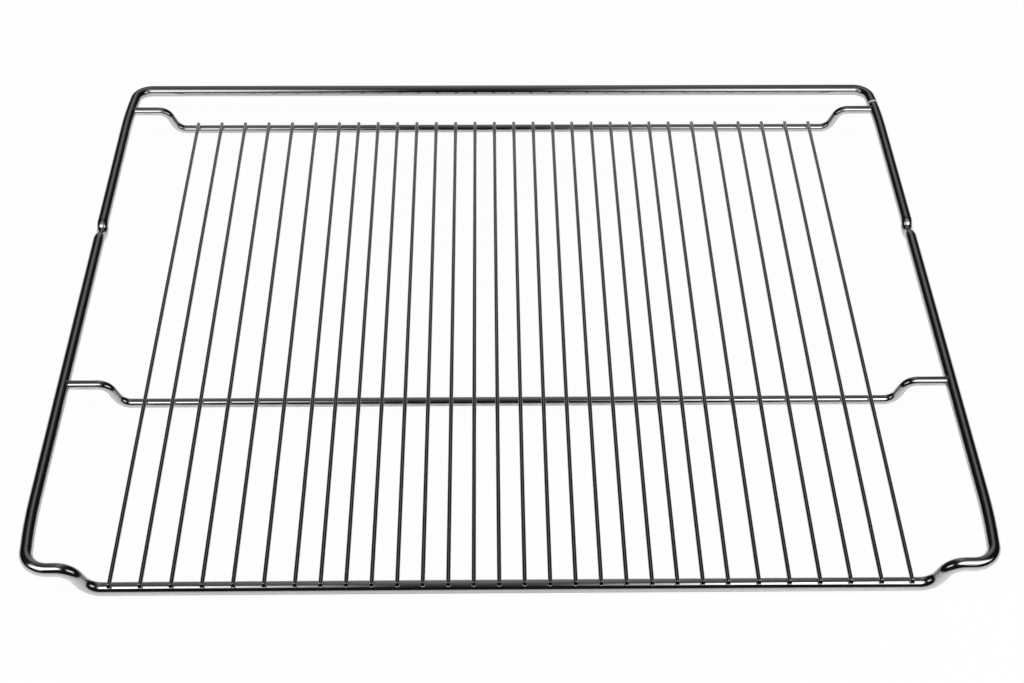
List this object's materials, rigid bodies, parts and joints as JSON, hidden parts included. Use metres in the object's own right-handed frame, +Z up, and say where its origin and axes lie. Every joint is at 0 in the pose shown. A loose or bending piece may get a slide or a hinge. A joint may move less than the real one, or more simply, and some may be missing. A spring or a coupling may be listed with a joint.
{
  "type": "oven shelf rack",
  "caption": "Chrome-plated wire oven shelf: a bent frame with raised side rails and rear stop, a lowered front bar, cross rods and a grid of straight wires.",
  "frame": {"origin": "middle of the footprint, on the surface that the shelf lies on", "axes": "+X across the shelf, +Y from the front bar to the rear bar, +Z up"},
  "size_m": [0.466, 0.385, 0.021],
  "materials": {
    "chrome_plate": "bright chrome plating on drawn steel wire"
  },
  "bodies": {
    "root": {"perimeter_frame": "chrome_plate", "rear_cross_rod": "chrome_plate", "middle_cross_rod": "chrome_plate", "grid_wire_01": "chrome_plate", "grid_wire_02": "chrome_plate", "grid_wire_03": "chrome_plate", "grid_wire_04": "chrome_plate", "grid_wire_05": "chrome_plate", "grid_wire_06": "chrome_plate", "grid_wire_07": "chrome_plate", "grid_wire_08": "chrome_plate", "grid_wire_09": "chrome_plate", "grid_wire_10": "chrome_plate", "grid_wire_11": "chrome_plate", "grid_wire_12": "chrome_plate", "grid_wire_13": "chrome_plate", "grid_wire_14": "chrome_plate", "grid_wire_15": "chrome_plate", "grid_wire_16": "chrome_plate", "grid_wire_17": "chrome_plate", "grid_wire_18": "chrome_plate", "grid_wire_19": "chrome_plate", "grid_wire_20": "chrome_plate", "grid_wire_21": "chrome_plate", "grid_wire_22": "chrome_plate", "grid_wire_23": "chrome_plate", "grid_wire_24": "chrome_plate", "grid_wire_25": "chrome_plate", "grid_wire_26": "chrome_plate", "grid_wire_27": "chrome_plate", "grid_wire_28": "chrome_plate", "grid_wire_29": "chrome_plate", "grid_wire_30": "chrome_plate"}
  },
  "joints": []
}
